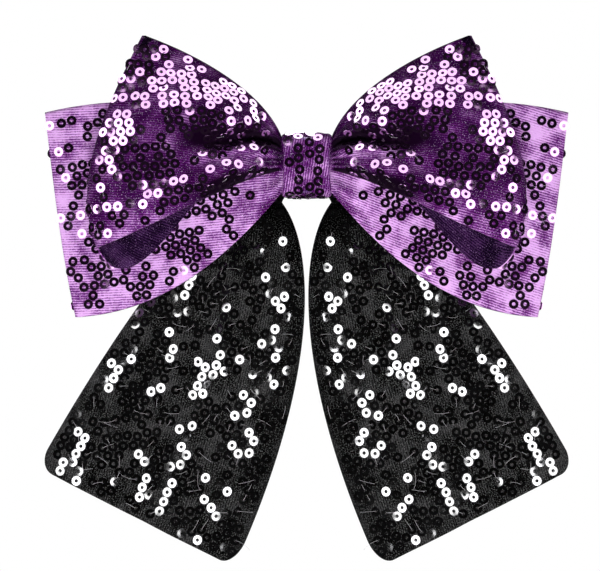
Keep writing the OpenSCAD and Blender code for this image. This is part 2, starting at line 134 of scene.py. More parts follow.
def sheet_solid(outer, inner, closed_rows):
    """Points and quads of a cloth with two faces: outer and inner grids joined along their borders."""
    rows, columns = outer.shape[:2]
    n = rows * columns
    points = np.concatenate([outer.reshape(-1, 3), inner.reshape(-1, 3)])
    quads = [grid_faces(rows, columns, 0, closed_rows), grid_faces(rows, columns, n, closed_rows, True)]
    k = np.arange(rows if closed_rows else rows - 1)
    k2 = (k + 1) % rows
    for column, turn in ((0, False), (columns - 1, True)):
        a, b = k * columns + column, k2 * columns + column
        edge = np.stack([a, a + n, b + n, b], -1)
        quads.append(edge[:, ::-1] if turn else edge)
    if not closed_rows:
        j = np.arange(columns - 1)
        for row, turn in ((0, True), (rows - 1, False)):
            a, b = row * columns + j, row * columns + j + 1
            edge = np.stack([a, a + n, b + n, b], -1)
            quads.append(edge[:, ::-1] if turn else edge)
    return points, np.concatenate(quads)


MIRROR = np.array([-1.0, 1.0, 1.0])

# %% [markdown]
# ## Materials
# The cloth is a shiny mesh: a satin body, fine slanting ribs, and a slow change of tone. The bump
# follows the cloth's own coordinates, so the ribs bend with the folds.

# %% Cloth and trim materials


def material(name, colour, roughness, metallic=0.0, specular=0.5, coat=0.0, sheen=0.0):
    """A plain principled material, with its node tree, shader node and output ready to extend."""
    m = bpy.data.materials.new(name)
    m.use_nodes = True
    shader = m.node_tree.nodes["Principled BSDF"]
    shader.inputs["Base Color"].default_value = (*colour, 1)
    shader.inputs["Roughness"].default_value = roughness
    shader.inputs["Metallic"].default_value = metallic
    shader.inputs["Specular IOR Level"].default_value = specular
    shader.inputs["Coat Weight"].default_value = coat
    shader.inputs["Coat Roughness"].default_value = 0.08
    shader.inputs["Sheen Weight"].default_value = sheen
    return m, m.node_tree.nodes, m.node_tree.links, shader


def ramp(nodes, stops):
    """A colour ramp with the given (position, colour) stops."""
    node = nodes.new("ShaderNodeValToRGB")
    elements = node.color_ramp.elements
    while len(elements) < len(stops):
        elements.new(0.5)
    for element, (position, colour) in zip(elements, stops):
        element.position = position
        element.color = (*colour, 1)
    return node


def mixed(nodes, links, factor, first, second):
    """The colour of a link, mixed by a factor link with a second, constant colour."""
    node = nodes.new("ShaderNodeMix")
    node.data_type = "RGBA"
    links.new(factor, node.inputs["Factor"])
    links.new(first, node.inputs["A"])
    node.inputs["B"].default_value = (*second, 1)
    return node.outputs["Result"]


def cloth_material(name, tones, painted_glint_and_net_speck, painted_glint_and_net_from=0.67, rib_angle=98, rib_strength=0.35,
                   roughness=0.45, sheen=0.06):
    """Satin mesh. tones are the colours of its dark, middle and light places; fine slanting ribs and
    slow noise choose between them, painted glints are scattered over them as bright specks, and a
    painted shade value on its points (1 at the bottom of a tight fold; below 0 it paints light) turns it
    nearly black."""
    m, nodes, links, shader = material(name, tones[1], roughness, specular=0.0, sheen=sheen)
    shader.inputs["Sheen Roughness"].default_value = 0.4
    shader.inputs["Sheen Tint"].default_value = (*[min(1, 1.6 * c + 0.1) for c in tones[2]], 1)
    uv = nodes.new("ShaderNodeUVMap")
    uv.uv_map = "weave"

    def math_node(operation, *values):
        node = nodes.new("ShaderNodeMath")
        node.operation = operation
        for socket, value in zip(node.inputs, values):
            if isinstance(value, bpy.types.NodeSocket):
                links.new(value, socket)
            else:
                socket.default_value = value
        return node.outputs[0]

    def noise(scale, detail):
        node = nodes.new("ShaderNodeTexNoise")
        node.inputs["Scale"].default_value = scale
        node.inputs["Detail"].default_value = detail
        links.new(uv.outputs["UV"], node.inputs["Vector"])
        return node.outputs["Fac"]

    waves = []
    for angle, scale in ((rib_angle, 0.42), (rib_angle - 90, 0.8)):
        turn = nodes.new("ShaderNodeMapping")
        turn.inputs["Rotation"].default_value = (0, 0, math.radians(angle))
        links.new(uv.outputs["UV"], turn.inputs["Vector"])
        wave = nodes.new("ShaderNodeTexWave")
        wave.inputs["Scale"].default_value = scale
        wave.inputs["Distortion"].default_value = 1.6
        wave.inputs["Detail"].default_value = 2.0
        wave.inputs["Detail Scale"].default_value = 1.5
        links.new(turn.outputs["Vector"], wave.inputs["Vector"])
        waves.append(wave.outputs["Fac"])
    # Painted shade: this node reads the painted shade value stored on the cloth's points.
    depth = nodes.new("ShaderNodeAttribute")
    depth.attribute_name = "hollow"
    hollow = depth.outputs["Fac"]
    mesh = math_node("MULTIPLY_ADD", waves[1], 0.5, waves[0])
    grain = math_node("MULTIPLY_ADD", noise(1.6, 3), 0.35, noise(0.14, 4))
    woven = math_node("MULTIPLY_ADD", mesh, 0.22, grain)
    # Painted shade lowers the tone; where the value is below 0 it is painted light and raises the tone.
    tone = math_node("MULTIPLY_ADD", hollow, -0.3, woven)
    colour = ramp(nodes, [(0.58, tones[0]), (0.83, tones[1]), (1.0, tones[2])])
    links.new(tone, colour.inputs["Fac"])
    # Painted glints: noise specks in a bright base colour stand for glints off the mesh; on the lining they
    # also draw its lighter net.
    painted_glint_and_net_mask = math_node("MULTIPLY", math_node("GREATER_THAN", noise(2.6, 1), painted_glint_and_net_from), 0.7)
    specked = mixed(nodes, links, painted_glint_and_net_mask, colour.outputs["Color"], painted_glint_and_net_speck)
    # Painted shade: the colour is mixed towards near black by the square of the painted shade value.
    shaded = mixed(nodes, links, math_node("POWER", hollow, 2.0), specked, [0.03 * c for c in tones[1]])
    links.new(shaded, shader.inputs["Base Color"])
    bump = nodes.new("ShaderNodeBump")
    bump.inputs["Strength"].default_value = rib_strength
    bump.inputs["Distance"].default_value = 0.2 * MM
    links.new(woven, bump.inputs["Height"])
    links.new(bump.outputs["Normal"], shader.inputs["Normal"])
    return m


PURPLE_CLOTH = cloth_material(
    "purple cloth", ((0.03, 0.001, 0.045), (0.16, 0.02, 0.21), (0.72, 0.4, 0.8)), (0.85, 0.7, 0.9))
PURPLE_LINING = cloth_material(
    "purple lining", ((0.002, 0.001, 0.004), (0.009, 0.002, 0.015), (0.06, 0.02, 0.085)),
    (0.3, 0.18, 0.36), rib_angle=60, rib_strength=0.8, roughness=0.7)
BLACK_CLOTH = cloth_material(
    "black cloth", ((0.0, 0.0, 0.0), (0.003, 0.003, 0.003), (0.03, 0.029, 0.03)),
    (0.12, 0.12, 0.12), painted_glint_and_net_from=0.61, sheen=0.0)
BLACK_LINING = cloth_material(
    "black lining", ((0.002, 0.002, 0.002), (0.006, 0.006, 0.006), (0.015, 0.015, 0.016)),
    (0.03, 0.03, 0.03), roughness=0.7, sheen=0.02)
CLOTHS = {"purple_sequin_cloth": PURPLE_CLOTH, "purple_lining": PURPLE_LINING,
          "black_sequin_cloth": BLACK_CLOTH, "black_lining": BLACK_LINING}


def sequin_material(name, tint, edge, metallic, coat):
    """Glossy film: a dark metallic body under a clear coat, each ring a little lighter or darker."""
    m, nodes, links, shader = material(name, tint, 0.08, metallic=metallic, specular=0.3, coat=coat)
    shade = nodes.new("ShaderNodeAttribute")
    shade.attribute_name = "shade"
    colour = ramp(nodes, [(0.0, tint), (1.0, edge)])
    links.new(shade.outputs["Fac"], colour.inputs["Fac"])
    links.new(colour.outputs["Color"], shader.inputs["Base Color"])
    return m


PURPLE_SEQUIN = sequin_material("purple sequin", (0.1, 0.035, 0.11), (0.15, 0.06, 0.165), 0.94, 1.0)
BLACK_SEQUIN = sequin_material("black sequin", (0.09, 0.09, 0.09), (0.15, 0.15, 0.155), 0.98, 0.0)
THREAD, *_ = material("clear thread", (0.5, 0.48, 0.52), 0.25, specular=0.9)
PURPLE_THREAD, *_ = material("purple thread", (0.1, 0.025, 0.17), 0.55, sheen=0.4)
GLUE, *_ = material("glue", (0.7, 0.66, 0.52), 0.35)

# %% [markdown]
# ## The shape of a loop
# Seen from the front a loop is a patch between four Bezier edges: lower, upper, waist and fold.
# Its two walls leave the knot together, puff apart and meet again at the fold:
# depth(t) = (near + (far - near) * sin(90 * t / 0.45)) * sqrt(1 - t^3), where t runs from knot to fold.

# %% Loop formulas
CLOTH_T, LINING_T, GATHER_T = 0.5, 0.5, 2.8
KNOT_WALL = 1.85  # from the knot band's outside to the bundle it holds
BUNDLE = (knot_hi[2] - knot_lo[2]) / 2 - KNOT_WALL  # half the bundle's height
WAIST_X = knot_hi[0]
FRONT_Y = knot_lo[1] + KNOT_WALL
PACK = 6.0  # depth of one bow inside the knot
BOW_GAP = 0.2  # between the two bows inside the knot
RISE_END = 0.45  # where along a loop its puff is full
FRONT_GATHERS, BACK_CREASES = 8, 4.5  # across one wall, beside the knot


def vec(*p):
    """A point of the front view, (x, z) in millimetres."""
    return np.array(p, float)


def bezier(p, t):
    """Cubic Bezier curve: the four control points weighted by the Bernstein polynomials of t."""
    t = np.asarray(t)[..., None]
    return (1 - t) ** 3 * p[0] + 3 * (1 - t) ** 2 * t * p[1] + 3 * (1 - t) * t**2 * p[2] + t**3 * p[3]


def patch(shape, lower, t, v):
    """Coons patch: two ruled surfaces between opposite edges, less the one through the four corners."""
    upper, waist, fold = shape["upper"], shape["waist"], shape["fold"]
    t1, v1 = t[..., None], v[..., None]
    ruled = (1 - v1) * bezier(lower, t) + v1 * bezier(upper, t)
    ruled = ruled + (1 - t1) * bezier(waist, v) + t1 * bezier(fold, v)
    corners = (1 - t1) * (1 - v1) * lower[0] + t1 * (1 - v1) * lower[3]
    return ruled - corners - (1 - t1) * v1 * upper[0] - t1 * v1 * upper[3]


def straight(a, b):
    """A straight edge, as the four control points of a Bezier curve."""
    return [a, a + (b - a) / 3, a + (b - a) * 2 / 3, b]


def swollen(a, b, by):
    """An edge that bulges outwards, more at its start than at its end."""
    return [a, a + (b - a) * 0.3 + vec(by * 0.9, 0), a + (b - a) * 0.62 + vec(by * 0.55, 0), b]


def rise(t):
    """How far a wall has opened from its packed depth to its puff, 0 to 1."""
    return np.sin(np.pi / 2 * np.minimum(1, t / RISE_END))


def ease(x):
    """Smooth step: 3x^2 - 2x^3 between 0 and 1."""
    x = np.clip(x, 0, 1)
    return x * x * (3 - 2 * x)


def front_relief(t, v):
    """Depth of the front wall's creases, which fan out from the knot and fade towards the fold."""
    def crease(centre, width, depth, peak):
        """A rounded groove along v = centre, deepest at t = peak."""
        grow = (t / peak) * np.exp(1 - t / peak)
        return depth * grow * np.exp(-np.abs((v - centre) / width) ** 1.4)
    deep = crease(0.7 - 0.2 * ease(t / 0.5), 0.08 + 0.09 * t, 9.0, 0.22)
    low = crease(0.34 - 0.04 * ease(t / 0.4), 0.045 + 0.05 * t, 1.8, 0.12)
    high = crease(0.9 - 0.06 * t, 0.04 + 0.05 * t, 2.0, 0.16)
    side = crease(0.45 - 0.3 * ease(t), 0.035 + 0.07 * t, 1.8, 0.34)
    under = 6.0 * np.clip(1 - v / 0.22, 0, 1) ** 2 * (t / 0.26) * np.exp(1 - t / 0.26)
    gathers = 0.35 * (1 + np.cos(2 * np.pi * FRONT_GATHERS * v)) * np.exp(-t / 0.09)
    soft = 0.9 * ease(t / 0.4) * (1 + np.sin(2 * np.pi * (1.5 * v + 0.9 * t) + 0.4))
    return deep + low + high + side + under + gathers * ease(t / 0.03) + soft


def front_hollow(t, v):
    """Painted shade on the front wall's cloth: 1 in the long upper crease and under the lower edge
    beside the knot, less in the finer creases, and a broad share that grows from the lower edge
    upwards, left off the puff below the crease."""
    near = ease(t / 0.03)
    off_crease = (v - 0.72 + 0.2 * ease(t / 0.5)) / (0.05 + 0.1 * t)
    deep = np.exp(-np.abs(off_crease) ** 2) * (1 - ease((t - 0.4) / 0.3))
    under = (1 - ease((v - 0.04) / (0.06 + 0.36 * t))) * (1 - ease((t - 0.34) / 0.3))
    fine = 0.5 * (1 + np.cos(2 * np.pi * FRONT_GATHERS * v + np.pi)) * np.exp(-t / 0.1)
    puff = np.exp(-((v - 0.4) / 0.1) ** 2) * ease(t / 0.1) * (1 - ease((t - 0.4) / 0.3))
    # Painted shade over the whole wall, rising from the lower edge; the puff below the crease is left lit.
    slope = 0.62 * ease((v + 0.25) / 0.6) * (1 - puff)
    return np.clip(near * (deep + under + 0.7 * fine) + slope, 0, 1)


def back_hollow(t, v):
    """Painted shade in a back loop's creases beside the knot, and painted light that makes its flat cloth a
    little lighter than plain.
    """
    creases = 0.5 - 0.5 * np.cos(2 * np.pi * (BACK_CREASES * v + 0.3))
    return -0.28 * ease(t / 0.3) + 0.6 * np.exp(-t / 0.16) * creases * ease(t / 0.03)


def back_relief(t, v):
    """Shallow creases of a back loop: few, straight, and deepest near the knot."""
    creases = 1 + np.cos(2 * np.pi * (BACK_CREASES * v + 0.3))
    fan = 0.55 * creases * np.exp(-t / 0.3) * ease(t / 0.06)
    soft = 0.45 * ease(t / 0.5) * (1 + np.sin(2 * np.pi * (1.4 * v - 0.7 * t) + 2.0))
    return fan + soft


def plain_relief(t, v):
    """Slow waves of a wall that rests against the next one."""
    return 0.3 * (1 + np.sin(2 * np.pi * (2.2 * v + 1.1 * t))) * ease(t / 0.2)


def loop_shape(lower, rear_lower, upper, fold, **depths):
    """One loop: the edges of its front wall, its rear wall's lower edge, and its depths. fold_y is the
    fold's Y, front_y and rear_y are its walls' inside the knot, puff and rear_puff are how far each
    wall stands off the fold, and roll is the share of the puff that the upper edge loses."""
    return {"lower": lower, "rear_lower": rear_lower, "upper": upper, "fold": fold,
            "waist": straight(lower[0], upper[0]), **depths}


tip, corner = vec(49.2, 38.6), vec(62.8, -24.8)
low_start, top_start = vec(WAIST_X, -1.5), vec(WAIST_X, BUNDLE)
front_rear_y = FRONT_Y + PACK
FRONT = loop_shape(
    [low_start, vec(21.4, -4), vec(39.6, -15.9), corner],
    [low_start, vec(25.1, 19.7), vec(50.2, -52), corner],
    [top_start, vec(11.8, 20.8), vec(30.5, 32.4), tip],
    swollen(corner, tip, 13),
    fold_y=FRONT_Y - 3.2, front_y=FRONT_Y, rear_y=front_rear_y, puff=12, rear_puff=7.6, roll=1.3,
    reliefs=(front_relief, plain_relief), hollow=front_hollow)
tip, corner = vec(78.8, 16), vec(69.6, -45.6)
low_start, top_start = vec(WAIST_X, -BUNDLE), vec(WAIST_X, 0.75 * BUNDLE)
back_front_y = front_rear_y + BOW_GAP
back_rear_y = back_front_y + PACK
BACK = loop_shape(
    [low_start, vec(20.9, -24.2), vec(40.4, -43.8), corner],
    [low_start, vec(20.9, -21.9), vec(40.4, -42), corner],
    [top_start, vec(23.6, 17.6), vec(48.9, 23.2), tip],
    swollen(corner, tip, 1.5),
    fold_y=back_rear_y - 2.9, front_y=back_front_y, rear_y=back_rear_y, puff=4.4, rear_puff=5.4, roll=0.6,
    reliefs=(back_relief, plain_relief), hollow=back_hollow)


def loop_point(shape, q, v, inset):
    """Point of a loop's wall. q runs 0 to 1 out along the front wall and 1 to 2 back along the rear
    wall, with t = 1 - (1 - q)^2 so that the wall turns smoothly at the fold; inset is 0 on the outer
    face and 1 on the lining's inner face."""
    front = q <= 1
    t = 1 - (1 - q) ** 2
    thick = inset * (CLOTH_T + LINING_T + (GATHER_T - CLOTH_T - LINING_T) * (1 - rise(t)))
    ahead = patch(shape, shape["lower"], t, v)
    behind = patch(shape, shape["rear_lower"], t, v)
    xz = np.where(front[..., None], ahead, behind)
    near = np.where(front, shape["fold_y"] - shape["front_y"], shape["rear_y"] - shape["fold_y"])
    far = np.where(front, shape["puff"], shape["rear_puff"])
    edge = np.where(front, 1 - shape["roll"] * np.clip(2 * v - 1, 0, 1) ** 2, 1.0)
    relief = np.where(front, shape["reliefs"][0](t, v), shape["reliefs"][1](t, v))
    depth = near + (far * edge - near) * rise(t) - relief
    y = shape["fold_y"] + np.where(front, -1, 1) * (depth - thick) * np.sqrt(np.maximum(0, 1 - t**3))
    return np.stack([xz[..., 0] - thick * t * t, y, xz[..., 1]], -1)


# %% [markdown]
# ## The two bows
# Each bow is one closed band that goes round both loops, so the right-hand grid is mirrored and the
# two halves are joined into a ring. The cloth is the outer half millimetre, the lining the inner.

# %% Build the bows
STATIONS, ROWS = 150, 56
LOOP_Q, LOOP_V = np.meshgrid(np.linspace(0, 2, STATIONS), np.linspace(0, 1, ROWS), indexing="ij")


def ring(half):
    """A closed ring of grid rows: the right half, then its mirror image in the opposite order."""
    return np.concatenate([half, (half * MIRROR)[::-1]])


def weave_uv(outer):
    """Weave coordinates in millimetres: distance along the middle row, and distance across."""
    step = np.linalg.norm(np.diff(outer[:, outer.shape[1] // 2], axis=0), axis=-1)
    along = np.concatenate([[0], np.cumsum(step)])
    cross = np.linalg.norm(np.diff(outer, axis=1), axis=-1)
    across = np.concatenate([np.zeros((len(outer), 1)), np.cumsum(cross, axis=1)], axis=1)
    across -= across[:, -1:] / 2
    uv = np.stack([np.repeat(along[:, None], outer.shape[1], 1), across], -1).reshape(-1, 2)
    return np.concatenate([uv, uv])


def band_hollow(shape):
    """The cloth's painted shade value at every point of both its faces; the rear walls have none."""
    half = np.where(LOOP_Q <= 1, shape["hollow"](1 - (1 - LOOP_Q) ** 2, LOOP_V), 0)
    face = np.concatenate([half, half[::-1]])
    return np.stack([face, face])


def band_piece(name, shape, start, end, slot, node):
    """A bow's cloth or lining: the layer between two insets of its walls, 0 outside and 1 inside."""
    outer = ring(loop_point(shape, LOOP_Q, LOOP_V, start))
    inner = ring(loop_point(shape, LOOP_Q, LOOP_V, end))
    points, quads = sheet_solid(outer, inner, True)
    obj = build(name, points, quads, CLOTHS[slot], uv=weave_uv(outer), hollow=band_hollow(shape))
    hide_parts(node)
    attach(obj, "bow")
    return obj


CM2 = 1e4  # square centimetres in a square metre


def closed_area(obj):
    """Half of a closed cloth's surface, in square metres: the area of the cloth itself."""
    areas = np.empty(len(obj.data.polygons))
    obj.data.polygons.foreach_get("area", areas)
    return areas.sum() / 2


front_cloth = band_piece("front_bow_cloth_folds", FRONT, 0, 0.5, "purple_sequin_cloth", "front_bow_cloth")
front_lining = band_piece("front_bow_lining_folds", FRONT, 0.5, 1, "purple_lining", "front_bow_lining")
back_cloth = band_piece("back_bow_cloth_folds", BACK, 0, 0.5, "purple_sequin_cloth", "back_bow_cloth")
back_lining = band_piece("back_bow_lining_folds", BACK, 0.5, 1, "purple_lining", "back_bow_lining")
for obj in (front_cloth, back_cloth):
    print(obj.name, "area cm2", round(closed_area(obj) * CM2, 1))

# %% [markdown]
# ## The tails
# A tail is a strip gathered in the knot that widens as it hangs. Long soft folds run down it, each a
# step between two flat panels, height * tanh((s - centre(t)) / width), so they slant as they go down.

# %% Tail formulas
gather_lo, gather_hi = span("tail_gather")
TAIL_TOP = span("tail_right_cloth")[1][2]
TAIL_Y = (gather_lo[1] + gather_hi[1]) / 2 + 1.1
TAIL_END, TAIL_FAR = vec(22, -121.5), vec(81.5, -91)
CORNER_R = 5.0
ABOVE = 0.12  # how far the strip goes on above the knot's lower edge, as a share of the tail
PLEATS = 5
top_in, top_out = vec(WAIST_X + 0.3, TAIL_TOP), vec(24, TAIL_TOP)
TAIL = {"lower": [top_in, vec(-3.5, -25), vec(-3.5, -66), TAIL_END],
        "upper": [top_out, vec(39.1, -23.7), vec(59.5, -51.9), TAIL_FAR],
        "waist": straight(top_in, top_out), "fold": straight(TAIL_END, TAIL_FAR)}
TAIL_W = np.linalg.norm(TAIL_FAR - TAIL_END)
TAIL_L = np.linalg.norm((TAIL_END + TAIL_FAR) / 2 - (top_in + top_out) / 2)


def tail_folds(s, t):
    """Height of the long folds, growing from the knot."""
    def flank(centre, width, height):
        """A soft step of the given height along s = centre."""
        return height * np.tanh((s - centre) / width)
    inner = flank(0.2 + 0.02 * np.sin(9 * t), 0.1, -2.6)
    middle = flank(0.56 - 0.14 * t, 0.05, 1.5)
    slant = flank(0.98 - 0.48 * t, 0.06, -1.3) + flank(1.04 - 0.16 * t, 0.06, 1.2)
    cross = 0.35 * np.sin(2 * np.pi * (1.1 * s + 1.7 * t) + 1.0)
    return ease(t / 0.3) * (inner + middle + slant + cross + 0.6)


def tail_point(s, k, inset):
    """Point of a tail. s runs from the inner edge to the outer, k from the knot (below 0) to the end."""
    e = 2 * CORNER_R / TAIL_W
    a = np.clip((np.abs(2 * s - 1) - 1 + e) / e, 0, 1)
    end = 1 - CORNER_R / TAIL_L * (1 - np.sqrt(np.maximum(0, 1 - a * a)))
    t = np.maximum(k, 0) * end
    xz = patch(TAIL, TAIL["lower"], t, s)
    y = TAIL_Y + 3.6 * rise(0.9 * t) + tail_folds(s, t)
    above = np.clip(-k / ABOVE, 0, 1)[..., None]
    knot_end = np.stack([WAIST_X - 1.5 + 0 * s, -BUNDLE + (gather_hi[2] + BUNDLE) * s], -1)
    xz = xz * (1 - above) + knot_end * above
    pleats = 1.5 * np.cos(2 * np.pi * PLEATS * s) * np.exp(-np.maximum(k, 0) / 0.05)
    y = y + pleats * ease(above[..., 0] * 1.5 + 0.25 * (k > -1)) * 0.9 - 0.5 * above[..., 0]
    return np.stack([xz[..., 0], y + inset, xz[..., 1]], -1)


TAIL_ROWS, TAIL_COLUMNS = 110, 80
TAIL_K, TAIL_S = np.meshgrid(np.linspace(-ABOVE, 1, TAIL_ROWS),
                             (1 - np.cos(np.pi * np.linspace(0, 1, TAIL_COLUMNS))) / 2, indexing="ij")
pivot_z = gather_lo[2]
BEND_FROM, BEND_TO = (0, 0, (pivot_z + 3) * MM), (0, 0, (pivot_z - 7) * MM)


def tail_hollow():
    """Painted shade on a tail's cloth: a painted shadow of the loops at its top, and painted shade along the
    bottoms of its folds.
    """
    # Painted shade along the fold bottoms, and a painted shadow of the loops over the top of the tail.
    folds = 0.8 * ease(tail_folds(TAIL_S, np.maximum(TAIL_K, 0)) / 3)
    face = 0.9 * (1 - ease((TAIL_K - 0.05) / 0.3)) + folds
    return np.clip(np.stack([face, face]), 0, 1)


def tail_piece(name, side, start, end, slot, *nodes):
    """A tail's cloth or lining between two insets, bending from the knot to the hanging tail."""
    mirror = MIRROR if side == "left" else 1
    grids = [tail_point(TAIL_S, TAIL_K, inset) * mirror for inset in (start, end)]
    points, quads = sheet_solid(*grids, False)
    if side == "left":
        quads = quads[:, ::-1]
    obj = build(name, points, quads[:, ::-1], CLOTHS[slot], uv=weave_uv(grids[0]), hollow=tail_hollow())
    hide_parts(*nodes)
    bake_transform(obj)
    return obj


tails = []
for side in ("left", "right"):
    cloth = tail_piece(f"tail_{side}_cloth_folds", side, -0.5, 0, "black_sequin_cloth", f"tail_{side}_cloth")
    lining = tail_piece(f"tail_{side}_lining_folds", side, 0, 0.5, "black_lining", f"tail_{side}_lining")
    tails += [cloth, lining]
print("tail area cm2", round(closed_area(tails[0]) * CM2, 1))

# %% [markdown]
# ## Gathered strip and knot band
# Inside the knot the tails' strip is one pleated ribbon. The knot's band is a strip of the same
# purple cloth, folded in three, wrapped round everything and sewn shut at the back.

# %% Knot and gathers


def gather_strip():
    """Pleated ribbon across the knot: y = middle + a * cos(2 pi PLEATS s), x from side to side."""
    x = np.linspace(-WAIST_X - 0.4, WAIST_X + 0.4, 24)
    s = np.linspace(0, 1, 120)
    X, S = np.meshgrid(x, s, indexing="ij")
    z = -BUNDLE + (gather_hi[2] + BUNDLE) * S
    pleats = 1.6 * np.cos(2 * np.pi * PLEATS * S) * (1 + 0.05 * np.cos(X))
    y = (gather_lo[1] + gather_hi[1]) / 2 + pleats
    outer = np.stack([X, y - CLOTH_T, z], -1)
    inner = np.stack([X, y + LINING_T, z], -1)
    points, quads = sheet_solid(outer, inner, False)
    obj = build("tail_gather_pleats", points, quads[:, ::-1], BLACK_CLOTH, uv=weave_uv(outer))
    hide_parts("tail_gather")
    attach(obj, "bow")
    return obj


def superellipse(angle, half_y, half_z, power):
    """Rounded rectangle: |y/a|^p + |z/b|^p = 1, walked by angle."""
    c, s = np.cos(angle), np.sin(angle)
    return np.sign(c) * half_y * np.abs(c) ** (2 / power), np.sign(s) * half_z * np.abs(s) ** (2 / power)


def knot_point(angle, w, inset):
    """Knot band: a rounded rectangle round the X axis, pulled in at the middle of its width."""
    middle_y = (knot_lo[1] + knot_hi[1]) / 2
    half_y, half_z = (knot_hi[1] - knot_lo[1]) / 2, (knot_hi[2] - knot_lo[2]) / 2
    y, z = superellipse(angle, half_y - inset, half_z - inset, 5.0)
    front = ease((-y / half_y - 0.2) / 0.6)
    dip = 0.45 * front * (1 - w * w)
    crease = 0.25 * front * np.cos(2 * np.pi * (0.9 * w + 0.1 * np.sin(z / 4)) + 1) - 0.25 * front
    x = WAIST_X * w * (1 - 0.05 * front * np.cos(np.pi * z / half_z / 1.2))
    roll = 0.5 * np.clip((np.abs(w) - 0.86) / 0.14, 0, 1) ** 2 * (1 - inset)
    scale = 1 - roll / half_z
    return np.stack([x, middle_y + y * scale + dip - crease, z * scale], -1)


gathers = gather_strip()
a, w = np.meshgrid(np.linspace(0, 2 * np.pi, 161)[:-1], np.linspace(-1, 1, 41), indexing="ij")
KNOT_BAND_T = 1.1
knot_outer, knot_inner = knot_point(a, w, 0.0), knot_point(a, w, KNOT_BAND_T)
points, quads = sheet_solid(knot_outer, knot_inner, True)
# Painted shade: the whole knot band is drawn darker, at a steady painted shade value of 0.35.
knot_painted_shade = np.full(len(points), 0.35)
knot = build("knot_band_wrap", points, quads, PURPLE_CLOTH, uv=weave_uv(knot_outer), hollow=knot_painted_shade)
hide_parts("knot_band")
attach(knot, "bow")

# %% [markdown]
# ## Sequins
# The sequins are flat rings punched from film, 3 mm across with a 1 mm hole. They are sewn in
# chains that wander over the mesh, so they touch in some places and leave bare cloth in others.
# Positions start as a warped hexagonal lattice in the cloth's own millimetres. A slow noise and a
# fast one decide which places stay empty. Every ring tilts a little, so each catches the light alone.
# None sit on a loop's tight fold, where they would stand off.

# %% Sequin placing
RING_R, HOLE_R, RING_T, SIDES = 1.5, 0.54, 0.08, 14
PITCH, ROW_SHARE = 3.2, 0.87  # between rings in a row, and between rows as a share of it
NOISE_CELLS = 64
BEND, BEND_CELL, JITTER = 2.4, 11, 0.22  # of the lattice: slow bend, its cell, and random shift
END_BARE, SIDE_BARE, BORDER_BARE, RIM_GAP = 0.3, 1.7, 1.2, 0.08  # bare margins
SAMPLES, ACROSS = 400, 60  # stations along a strip, and steps across it


def value_noise(x, y, cell, seed):
    """Smooth noise: random values on a square lattice of the given cell, blended with smooth steps."""
    values = np.random.default_rng(seed).random((NOISE_CELLS, NOISE_CELLS))
    gx, gy = x / cell + 20, y / cell + 20
    i, j = np.floor(gx).astype(int), np.floor(gy).astype(int)
    fx, fy = ease(gx - i), ease(gy - j)

    def corner_at(a, b):
        return values[(i + a) % NOISE_CELLS, (j + b) % NOISE_CELLS]

    low = corner_at(0, 0) * (1 - fx) + corner_at(1, 0) * fx
    high = corner_at(0, 1) * (1 - fx) + corner_at(1, 1) * fx
    return low * (1 - fy) + high * fy


def scatter(length, width, seed, keep):
    """Sequin places (along, across) in mm on a strip: a hexagonal lattice, bent by slow noise, thinned
    by noise of two sizes to the share keep."""
    pick = np.random.default_rng(seed)
    columns = np.arange(-4, length / PITCH + 4)
    rows = np.arange(-4, width / PITCH / ROW_SHARE + 4)
    i, j = np.meshgrid(columns, rows, indexing="ij")
    x = (i + 0.5 * (j % 2)) * PITCH
    y = j * PITCH * ROW_SHARE
    bend_x = BEND * (value_noise(x, y, BEND_CELL, seed + 1) - 0.5)
    bend_y = BEND * (value_noise(x, y, BEND_CELL, seed + 2) - 0.5)
    x = x + bend_x + pick.normal(0, JITTER, x.shape)
    y = y + bend_y + pick.normal(0, JITTER, y.shape)
    chance = 0.42 * value_noise(x, y, 4.2, seed + 3) + 0.58 * pick.random(x.shape)
    level = np.quantile(chance, 1 - keep)
    inside = (x > END_BARE) & (x < length - END_BARE) & (y > SIDE_BARE) & (y < width - SIDE_BARE)
    kept = inside & (chance > level)
    places = np.stack([x[kept], y[kept]], -1)
    return spread(places, 2 * RING_R + 0.04).T


def spread(places, apart, rounds=14):
    """Pushes places that are closer than apart away from each other, half the shortfall each."""
    for _ in range(rounds):
        gap = places[:, None] - places[None]
        far = np.linalg.norm(gap, axis=-1) + np.eye(len(places)) * 99
        push = np.clip(apart - far, 0, None) / 2
        places = places + np.sum(gap / far[..., None] * push[..., None], axis=1)
    return places


def ring_template():
    """One ring round the Z axis: four circles (outer low, outer high, inner high, inner low)."""
    angle = np.linspace(0, 2 * np.pi, SIDES, endpoint=False)
    circle = np.stack([np.cos(angle), np.sin(angle)], -1)
    profile = [(RING_R, 0.0), (RING_R * 0.985, RING_T), (HOLE_R, RING_T * 0.8), (HOLE_R, 0.0)]
    points = np.concatenate([np.column_stack([circle * r, np.full(SIDES, h)]) for r, h in profile])
    k = np.arange(SIDES)
    k2 = (k + 1) % SIDES
    quads = [np.stack([a * SIDES + k, a * SIDES + k2, b * SIDES + k2, b * SIDES + k], -1)
             for a, b in ((0, 1), (1, 2), (2, 3), (3, 0))]
    return points, np.concatenate(quads)


def frames(P, du, dv, tilt, seed):
    """Right-handed frames (tangent, side, normal) at points, each turned by a small random tilt."""
    pick = np.random.default_rng(seed)
    normal = unit(np.cross(du, dv))
    lean = pick.normal(0, tilt, P.shape)
    normal = unit(normal + lean)
    turn = pick.uniform(0, 2 * np.pi, len(P))[:, None]
    along = unit(du - normal * np.sum(du * normal, -1, keepdims=True))
    side = np.cross(normal, along)
    tangent = along * np.cos(turn) + side * np.sin(turn)
    return tangent, np.cross(normal, tangent), normal


RING_POINTS, RING_QUADS = ring_template()


